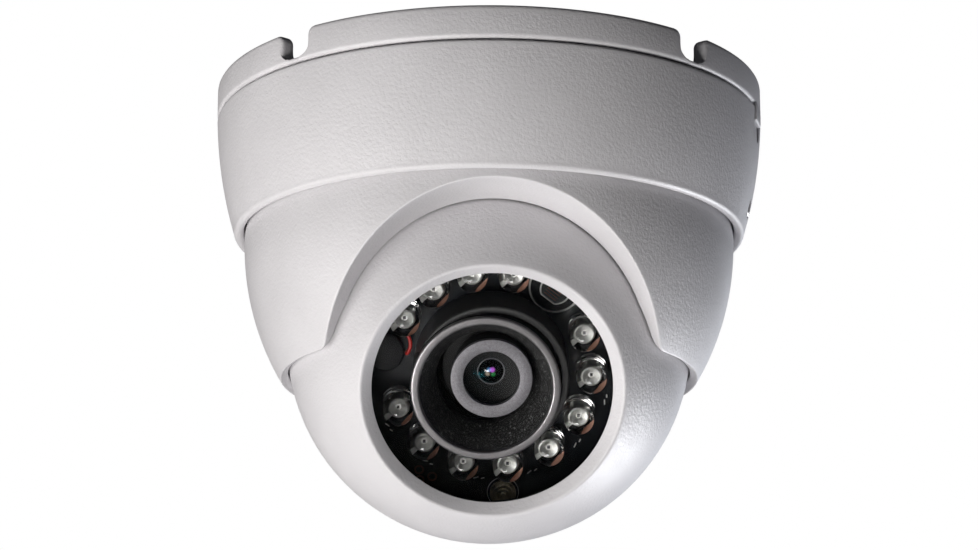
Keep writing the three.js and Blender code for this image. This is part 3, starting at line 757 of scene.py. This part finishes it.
def bowl_section(soft, edge, throat):
    """One column of the bowl: down its skin, over its edge, along to the ball's seat and back up inside.

    Each argument is an (azimuth, height); azimuth 0 is the front.
    """
    def place(azimuth, radius, height):
        return np.array((radius * math.sin(azimuth), -radius * math.cos(azimuth), height))

    start = place(soft[0], bowl_r(soft[1]), soft[1])
    corner = place(edge[0], bowl_r(edge[1]), edge[1])
    end = place(throat[0], seat_r(throat[1]), throat[1])
    after = corner + (end - corner) * BOWL_EDGE / np.linalg.norm(end - corner)
    section = [place(soft[0], r, z) for r, z in (
        (NECK_IN_R, FLANGE_TOP), (FLANGE_R, FLANGE_TOP), (FLANGE_R, FLANGE_BOTTOM), (NECK_R, FLANGE_BOTTOM))]
    heights = np.linspace(FLANGE_BOTTOM - 1.8, soft[1], 29)[:-1]
    section += [place(soft[0], bowl_r(z), z) for z in heights]
    section += bent(start, corner, after, 5) + straight(after, end, 6)
    lift = end[2] + SEAT_RISE
    lift -= SEAT_RISE_LESS * (end[2] - UNDERSIDE_TOP) / (ARCH_Z + THROAT_H - UNDERSIDE_TOP)
    section.append(place(throat[0], math.hypot(end[0], end[1]) + 0.5, lift))
    inside = lift + 0.2
    section.append(place((throat[0] + soft[0]) / 2, bowl_r(lift) - BOWL_WALL, inside))
    heights = np.linspace(inside, FLANGE_BOTTOM, 5)[1:]
    section += [place(soft[0], bowl_r(z) - BOWL_WALL, z) for z in heights]
    return section


def bowl():
    """The panning bowl, with a softened edge round its arch and a wall from there to the ball."""
    def skin_path(offset):
        radius, low = ARCH_R + offset, BOWL_BOTTOM + offset
        foot = math.acos((low - ARCH_Z) / radius)
        return rim_path(lambda t: (radius * math.sin(t), ARCH_Z + radius * math.cos(t)), foot, low, bowl_r,
                        FOOT_FILLET)

    foot = math.acos((UNDERSIDE_TOP - ARCH_Z) / THROAT_H)
    throat = rim_path(throat_point, foot, UNDERSIDE_TOP, seat_r, THROAT_FILLET)
    paths = [skin_path(BOWL_EDGE), skin_path(0), throat]
    half = [bowl_section(*rims) for rims in zip(*paths)]
    mirrored = [[p * (-1, 1, 1) for p in section] for section in half[-2:0:-1]]
    sections = half + mirrored
    verts = [p for section in sections for p in section]
    faces = [f[::-1] for f in torus_faces(len(sections), len(half[0]))]
    return add_object("bowl_shell", verts, faces, PAINT, 50)


fix(bowl(), "turret", "turret_bowl", slot="painted_white")

# ---------------------------------------------------------------------------------------------------
# Ball shells and window
# ---------------------------------------------------------------------------------------------------


def front_shell():
    """The ball's front half, with its bevelled bezel and the pocket behind it."""
    inner_r = BALL_R - FRONT_WALL
    pocket_r = GLASS_R + 0.3
    bezel_angle = 90 - angle_at(BALL_R, BEZEL_R)
    profile = arc(0, 0, BALL_R, angle_at(BALL_R, SEAM_H + 0.2), bezel_angle - 0.8, 60)
    bezel = (BEZEL_R, math.sqrt(BALL_R**2 - BEZEL_R**2))
    chamfer_foot = (WINDOW_R + 0.2, WINDOW_SEAT_H + 0.3)
    profile += [tuple(p) for p in bent(profile[-1], bezel, straight(bezel, chamfer_foot, 4)[0], 4)[1:]]
    profile += [chamfer_foot, (WINDOW_R, WINDOW_SEAT_H + 0.1), (WINDOW_R, WINDOW_SEAT_H)]
    profile += [(pocket_r, WINDOW_SEAT_H)]
    profile += arc(0, 0, inner_r, 90 - angle_at(inner_r, pocket_r), angle_at(inner_r, SEAM_H), 20)
    profile += [(BALL_R - 0.5, SEAM_H)]
    return in_ball(lathe("ball_front", profile, PAINT, SIDES))


def rear_shell():
    """The ball's rear half, with its cable outlet and the groove for the seal in its face."""
    inner_r = BALL_R - REAR_WALL
    face = SEAM_H - 0.3
    groove = face - SEAL_DEPTH
    profile = arc(0, 0, BALL_R, -90 + angle_at(BALL_R, OUTLET_R), angle_at(BALL_R, face - 0.2), 50)
    profile += [(BALL_R - 0.5, face), (SEAL_OUT_R, face), (SEAL_OUT_R, groove)]
    profile += [(SEAL_IN_R, groove), (SEAL_IN_R, face)]
    profile += arc(0, 0, inner_r, angle_at(inner_r, face), -90 + angle_at(inner_r, OUTLET_R), 20)
    return in_ball(lathe("ball_rear", profile, PAINT, SIDES))


fix(front_shell(), "eyeball", "eyeball_front_shell", slot="painted_white")
fix(rear_shell(), "eyeball", "eyeball_rear_shell", slot="painted_white")

glass = [(0, GLASS_BACK)] + rounded([(GLASS_R, GLASS_BACK), (GLASS_R, GLASS_FRONT)], 0.25, closed=False)
glass += [(0, GLASS_FRONT)]
fix(in_ball(lathe("window_pane", glass, WINDOW, 128)), "eyeball", "window_glass", slot="window_glass")

# ---------------------------------------------------------------------------------------------------
# LED board
# ---------------------------------------------------------------------------------------------------


def repeated(name, verts, faces, places, material, crease=40):
    """One object holding a copy of a small mesh at each (x, y, height) place of the ball's frame."""
    every, links = [], []
    for place in places:
        start = len(every)
        every += [tuple(np.add(v, place)) for v in verts]
        links += [tuple(start + i for i in f) for f in faces]
    return in_ball(add_object(name, every, links, material, crease))


def slab(length, width, height, degrees=0.0, centre=(0, 0, 0)):
    """Points and faces of a box, turned about Z."""
    c, s = math.cos(math.radians(degrees)), math.sin(math.radians(degrees))
    verts = []
    for z in (-height / 2, height / 2):
        for x, y in ((-1, -1), (1, -1), (1, 1), (-1, 1)):
            x, y = x * length / 2, y * width / 2
            verts.append((centre[0] + x * c - y * s, centre[1] + x * s + y * c, centre[2] + z))
    faces = [(3, 2, 1, 0), (4, 5, 6, 7)] + [(i, (i + 1) % 4, (i + 1) % 4 + 4, i + 4) for i in range(4)]
    return verts, faces


def closed_outline(points, z, thickness):
    """Points and faces of a flat plate with the given outline."""
    n = len(points)
    verts = [(x, y, h) for h in (z, z + thickness) for x, y in points]
    faces = [tuple(range(n))[::-1], tuple(range(n, 2 * n))]
    return verts, faces + [(i, (i + 1) % n, (i + 1) % n + n, i + n) for i in range(n)]


def tube(path, radius, sides=12):
    """Points and faces of a round tube with closed ends along a path."""
    path = [Vector(p) for p in path]
    verts, side = [], (path[1] - path[0]).orthogonal()
    for i, p in enumerate(path):
        along = (path[min(i + 1, len(path) - 1)] - path[max(i - 1, 0)]).normalized()
        side = (side - along * side.dot(along)).normalized()
        other = along.cross(side)
        for a in np.arange(sides) * 2 * math.pi / sides:
            verts.append(tuple(p + (side * math.cos(a) + other * math.sin(a)) * radius))
    faces = [tuple(range(sides))[::-1], tuple(range(len(verts) - sides, len(verts)))]
    for i in range(len(path) - 1):
        for k in range(sides):
            n = (k + 1) % sides
            faces.append((i * sides + k, i * sides + n, (i + 1) * sides + n, (i + 1) * sides + k))
    return verts, faces


def led_places():
    """Where the LEDs stand on the board, run by run."""
    return [(*polar(r, first + i * step), LED_FOOT)
            for count, first, step, r in LED_RUNS for i in range(count)]


def led_body():
    """The clear moulding of a 5 mm LED, with its flange flattened on one side."""
    flange_r, body_r, straight_h = 2.85, 2.5, 5.1
    flange = [(0, 0), (flange_r, 0), (flange_r, 1), (body_r, 1), (body_r, 1.6)]
    profile = [(0, 0)] + rounded(flange, 0.12, 2, closed=False)[1:]
    profile += arc(0, straight_h, body_r, 0, 90, 16)[:-1] + [(0, straight_h + body_r)]
    verts, faces = turned(profile, 64)
    flat = body_r + 0.05
    return [(-min(-x, flat), y, z) for x, y, z in verts], faces


def leds():
    """Twelve clear LEDs, each over its reflector cup, post, chip and two legs."""
    places = led_places()
    verts, faces = led_body()
    for number, place in enumerate(places, 1):
        body = repeated(f"led_lens_{number:02d}", verts, faces, [place], RESIN, 30)
        fix(body, "eyeball", f"led_{number:02d}", slot="led_resin")
    grain = 45  # the lead frames all stand across the same diagonal
    cup = [(0, 0.4), (0.3, 0.4), (0.35, 3.1), (0.92, 3.8), (0.92, 4.1), (0.82, 4.2), (0.36, 4.05),
           (0.28, 3.95), (0, 3.95)]
    frames = {
        "led_cups": (turned(cup, 24), SILVER),
        "led_blades": (slab(1.7, 0.42, 1.9, grain, (*polar(-1.25, grain), 3.0)), SILVER),
        "led_posts": (slab(0.9, 0.42, 2.3, grain, (*polar(1.35, grain), 2.6)), SILVER),
        "led_backs": (slab(0.3, 2.6, 1.2, -grain, (*polar(1.25, -grain), 3.4)), BRONZE),
        "led_chips": (slab(0.24, 0.24, 0.1, 0, (0, 0, 4.0)), CHIP),
        "led_legs": (slab(0.46, 0.46, 2.2, grain, (*polar(-1.27, grain), 0.9)), SILVER),
    }
    for name, ((v, f), material) in frames.items():
        fix(repeated(name, v, f, places, material), "eyeball")


def silkscreen():
    """Printed marks on the board: a ring round the photocell, a dash by each LED."""
    z = BOARD_TOP - 0.02
    screw_at = (BOARD_SCREW_R, BOARD_SCREW_ANGLES[0])
    rings = {"photocell_mark": (SENSOR_AT, 4.1, 0.32), "screw_mark": (screw_at, 2.55, 0.16)}
    for name, (place, radius, width) in rings.items():
        inner, outer = radius, radius + width
        verts, faces = turned([(outer, z), (outer, z + 0.05), (inner, z + 0.05), (inner, z)], 96)
        fix(repeated(name, verts, faces, [(*polar(*place), 0)], SILKSCREEN), "eyeball")
    dashes, links = [], []
    dash_r, from_led, apart = 20.3, 10.8, 1.6
    for x, y, _ in led_places():
        middle = math.degrees(math.atan2(y, x)) + from_led
        for k, turn in enumerate((-apart, apart)):
            v, f = slab(0.2, 0.9 - 0.3 * k, 0.05, middle + 20, (*polar(dash_r, middle + turn), z + 0.025))
            links += [tuple(len(dashes) + n for n in face) for face in f]
            dashes += v
    fix(in_ball(add_object("board_marks", dashes, links, SILKSCREEN)), "eyeball")


def photocell():
    """The light sensor: a dark resin slab with two flats, a pale rim and a fine red track."""
    x, y = polar(*SENSOR_AT)
    radius, flat, height = 2.5, 2.1, 1.0
    corner = math.degrees(math.acos(flat / radius))
    turn = SENSOR_AT[1]
    sweep = np.linspace(corner, 180 - corner, 24)
    outline = [polar(radius, turn + side + a) for side in (0, 180) for a in sweep]
    verts, faces = closed_outline(outline, 0, height)
    body = repeated("sensor_body", verts, faces, [(x, y, LED_FOOT)], SENSOR)
    fix(body, "eyeball", "light_sensor", slot="photocell")
    rim = [(px, py, height) for px, py in outline]
    verts, faces = tube(rim + rim[:1], 0.14, 6)
    fix(repeated("sensor_rim", verts, faces, [(x, y, LED_FOOT)], SILKSCREEN), "eyeball")
    track = []
    for i in range(7):
        v = -1.5 + i * 0.5
        for reach in (1.2, -1.2):
            along = polar(reach * (-1) ** i, turn + 90)
            track.append((*np.add(polar(v, turn), along), height))
    verts, faces = tube(track, 0.06, 6)
    fix(repeated("sensor_track", verts, faces, [(x, y, LED_FOOT)], COPPER), "eyeball")


def board_details():
    """The black cap, red lead, solder rings and board screws."""
    outline = [(0, 0), (CAP_R, 0), (CAP_R, 0.75), (CAP_R - 0.25, 1.0), (0, 0.9)]
    cap = rounded(outline, [0, 0.1, 0.3, 0.3, 0], 4)
    body = repeated("cap_body", *turned(cap, 64), [(*polar(*CAP_AT), LED_FOOT)], CAP)
    fix(body, "eyeball", "board_cap", slot="plastic_black")
    lead_x, lead_y, lead_r, lead_top = -16.2, 3.9, 2.8, 13.4
    angles = np.radians(np.linspace(-38, 38, 16))
    lead = [(lead_x + lead_r * math.cos(a), lead_y + lead_r * math.sin(a), lead_top) for a in angles]
    ends = [[(p[0], p[1], LED_FOOT + t) for t in (0, 0.6, 1.1)] for p in (lead[0], lead[-1])]
    wire = in_ball(add_object("lead_wire", *tube(ends[0] + lead[1:-1] + ends[1][::-1], 0.3), RED))
    fix(wire, "eyeball", "red_lead", slot="wire_red")
    pads = [(*polar(r, a), BOARD_TOP - 0.02) for r, a in ((22.2, -122), (22.2, -115.5), (23.7, -119.5))]
    verts, faces = turned(block(0.5, 0.85, 0, 0.06), 32)
    fix(repeated("solder_rings", verts, faces, pads, MASKED_COPPER), "eyeball")
    for number, angle in enumerate(BOARD_SCREW_ANGLES, 1):
        head = board_screw(f"pcb_screw_{number}")
        head.matrix_world = BALL_FRAME @ Matrix.Translation(
            [v * MM for v in (*polar(BOARD_SCREW_R, angle), LED_FOOT)])
        fix(head, "eyeball", f"board_screw_{number}", slot="steel")


def board_screw(name):
    """A board screw standing on Z = 0, whose head rises in rounded rings to a small boss."""
    shank_r, length, step = 1.1, 5, 0.3
    rings = ((2.3, 0.4), (1.75, 0.8), (1.15, 1.15), (0.5, 1.5))
    profile = [(0, -length), (shank_r * 0.6, -length), (shank_r, -length + 0.5), (shank_r, 0)]
    profile.append((rings[0][0], 0))
    for outer, height in rings:
        profile += bent((outer, height - step), (outer - 0.05, height), (outer - step, height), 5)
    return lathe(name, [tuple(p) for p in profile] + [(0, rings[-1][1])], NICKEL, 64)


leds()
silkscreen()
photocell()
board_details()

# ---------------------------------------------------------------------------------------------------
# Shroud and lens
# ---------------------------------------------------------------------------------------------------


def shroud():
    """The moulded light shield: a grainy cone with a pale rounded lip, in a plain black collar."""
    lip_in, lip_out = 11.05, 12.42
    throat_r, foot_in, foot_out = 8.1, 10.9, 12
    cone = [(throat_r, 16.4), (lip_in - 0.1, SHROUD_TOP - 0.6)]
    wall = [(lip_out - 0.15, SHROUD_TOP - 0.9), (foot_out, LED_FOOT), (foot_in, LED_FOOT), (foot_in, 18.2),
            (throat_r, 14.6)]
    body = lathe("shroud_cone", [(r, z) for r, z in rounded(cone + wall, 0.15, 2)], SHROUD, 128)
    placing = BALL_FRAME @ Matrix.Translation((SHROUD_X * MM, SHROUD_Y * MM, 0))
    body.matrix_world = placing
    fix(body, "eyeball", "lens_shroud", slot="shroud_rubber")
    lip = rounded([(lip_in - 0.1, SHROUD_TOP - 0.62), (lip_in, SHROUD_TOP), (lip_out, SHROUD_TOP),
                   (lip_out - 0.1, SHROUD_TOP - 0.95)], [0.02, 0.55, 0.55, 0.02], 8)
    rim = lathe("shroud_lip", lip, LIP, 128)
    rim.matrix_world = placing
    fix(rim, "eyeball")
    collar = rounded([(11.6, LED_FOOT), (12.85, LED_FOOT), (12.8, 20.6), (11.6, 20.6)], [0, 0, 0.4, 0], 5)
    fix(in_ball(lathe("shroud_collar", collar, BLACK, 128)), "eyeball")


def lens():
    """The lens: a grey ring over a dark stepped bore, with two coated elements down in it."""
    ring_in, ring_out, top = 4.7, 6.75, LENS_RING_TOP
    ring = rounded(block(ring_in, ring_out, top - 1, top), 0.1, 2)
    fix(in_ball(lathe("grey_ring", ring, ANODISED, 128)), "eyeball", "lens_front_ring", slot="lens_ring_grey")
    barrel = [(0, 7.6), (5.7, 7.6), (5.7, 15.6), (6.6, 15.6), (6.6, 18.3), (4.75, 18.3), (4.75, 17.6),
              (4.3, 17.4), (2.35, 15.6), (2.2, 15.5), (2.2, 14.9), (0, 14.9)]
    tube_body = in_ball(lathe("barrel_tube", barrel, MATT_BLACK, 96, 25))
    fix(tube_body, "eyeball", "lens_barrel", slot="plastic_black")
    dome, foot, crown = 7.76, 16.9, 18.6
    front = [(0, foot), (4.3, foot)] + arc(0, crown - dome, dome, 56.4, 90, 14)[:-1] + [(0, crown)]
    glass = in_ball(lathe("front_element", front, LENS_COAT, 96))
    fix(glass, "eyeball", "lens_front_element", slot="lens_glass")
    dome, foot, crown = 3.0, 14.95, 15.9
    inner = [(0, foot), (2.1, foot)] + arc(0, crown - dome, dome, 48, 90, 8)[:-1] + [(0, crown)]
    fix(in_ball(lathe("inner_element", inner, INNER_GLASS, 64)), "eyeball")
    edge = rounded(block(2.12, 2.3, 15.5, 15.75), 0.05, 2)
    fix(in_ball(lathe("inner_ring", edge, CHIP, 96)), "eyeball")


def gland():
    """The empty cable gland on the back of the ball, with a grip of fine rings."""
    bore, body_r, flange_r = 2.6, 5.1, 6.6
    start, neck, end = -28.6, -30.2, -37.6
    grip = [(body_r - 0.35 * (i % 2), -30.8 - i * 0.42) for i in range(11)]
    profile = [(bore, start), (flange_r, start), (flange_r, neck), (body_r, neck)] + grip
    profile += [(4.1, end), (bore, end)]
    corners = [0.1, 0.3, 0.3, 0.2] + [0.12] * len(grip) + [0.4, 0.3]
    fix(in_ball(lathe("gland_body", rounded(profile, corners, 3), RUBBER, 64)), "gland", "cable_gland",
        slot="rubber_black")


def finish_cad_nodes():
    """Procedural materials on the CAD nodes that stay: the hidden rings, screws, filters and boards."""
    finishes = {
        RUBBER: ("friction_ring", "shell_seal", "gasket"),
        BLACK: ("retainer", "clamp_ring"),
        MATT_BLACK: ("lens_holder", "filter_carrier"),
        STEEL: ("_screw", "board_frame"),
        BRASS: ("standoff",),
        GREEN_BOARD: ("sensor_board", "main_board"),
        BOARD: ("led_board",),
        CHIP: ("image_sensor",),
        IVORY: ("connector",),
        RED_GLASS: ("infrared_cut_filter",),
        CLEAR_GLASS: ("clear_filter",),
    }
    for name, node in frame["nodes"].items():
        for material, words in finishes.items():
            if any(word in name for word in words):
                for place in node.material_slots:
                    place.material = material


shroud()
lens()
gland()
finish_cad_nodes()

# ---------------------------------------------------------------------------------------------------
# Camera, lights and surroundings
# ---------------------------------------------------------------------------------------------------


def camera():
    """The view: from a little left of the front and below, tipped up at the object."""
    data = bpy.data.cameras.new("camera")
    data.lens = 127.65
    data.sensor_width = 36.0
    obj = bpy.data.objects.new("camera", data)
    turn, tip = math.radians(1.5), 15.17
    distance, height = 0.5725, -0.1876
    obj.location = (-distance * math.sin(turn), -distance * math.cos(turn), height)
    obj.rotation_euler = (math.radians(90 + tip), 0, -turn)
    bpy.context.scene.collection.objects.link(obj)
    bpy.context.scene.camera = obj


def softbox(name, azimuth, elevation, power, colour, gloss_only=False):
    """A square light 1 m from the object. Azimuth 0 is the front, and 90 is the object's +X side.

    A gloss_only light adds its reflection without lighting matt surfaces.
    """
    data = bpy.data.lights.new(name, "AREA")
    data.size = 0.5
    data.energy = power
    data.color = colour
    obj = bpy.data.objects.new(name, data)
    a, e = math.radians(azimuth), math.radians(elevation)
    out = Vector((math.sin(a) * math.cos(e), -math.cos(a) * math.cos(e), math.sin(e)))
    obj.location = Vector((0, 0, -0.04)) + out
    obj.rotation_euler = (-out).to_track_quat("-Z", "Y").to_euler()
    obj.visible_diffuse = not gloss_only
    bpy.context.scene.collection.objects.link(obj)


def floor():
    """A plain pale floor well below the hanging camera."""
    size, height = 4.0, -0.8
    corners = [(-size, -size), (size, -size), (size, size), (-size, size)]
    m = Nodes("floor_pale", roughness=0.8)
    m.set("Base Color", m.ramp(m.noise(3, 2), (0.3, grey(0.78)), (0.7, grey(0.80))))
    verts = [(x / MM, y / MM, height / MM) for x, y in corners]
    add_object("floor", verts, [(0, 1, 2, 3)], m.material)


def world():
    """White behind the object, and a dimmer even light on it."""
    w = bpy.data.worlds.new("studio")
    w.use_nodes = True
    bpy.context.scene.world = w
    tree = w.node_tree
    ambient = tree.nodes["Background"]
    ambient.inputs["Color"].default_value = (0.9, 0.92, 1.0, 1)
    ambient.inputs["Strength"].default_value = 0.03
    backdrop = tree.nodes.new("ShaderNodeBackground")
    backdrop.inputs["Color"].default_value = (1, 1, 1, 1)
    backdrop.inputs["Strength"].default_value = 1.0
    mix = tree.nodes.new("ShaderNodeMixShader")
    ray = tree.nodes.new("ShaderNodeLightPath")
    tree.links.new(ray.outputs["Is Camera Ray"], mix.inputs["Fac"])
    tree.links.new(ambient.outputs["Background"], mix.inputs[1])
    tree.links.new(backdrop.outputs["Background"], mix.inputs[2])
    tree.links.new(mix.outputs["Shader"], tree.nodes["World Output"].inputs["Surface"])


camera()
world()
floor()
softbox("key_low", -30, -50, 13.7, (1.0, 0.985, 0.97))
softbox("key_side", -60, -25, 4.5, (1.0, 0.98, 0.96))
softbox("fill_left", -90, -25, 1.7, (1.0, 0.98, 0.96))
softbox("rim_right", 115, -50, 3.9, (0.93, 0.94, 1.0))
softbox("rim_low", 125, -22, 2.0, (0.90, 0.93, 1.0))
softbox("rim_back", 150, 0, 1.5, (0.90, 0.93, 1.0))
softbox("gloss_right", 122, -34, 12.0, (0.95, 0.96, 1.0), gloss_only=True)
bpy.context.scene.view_settings.view_transform = "Standard"
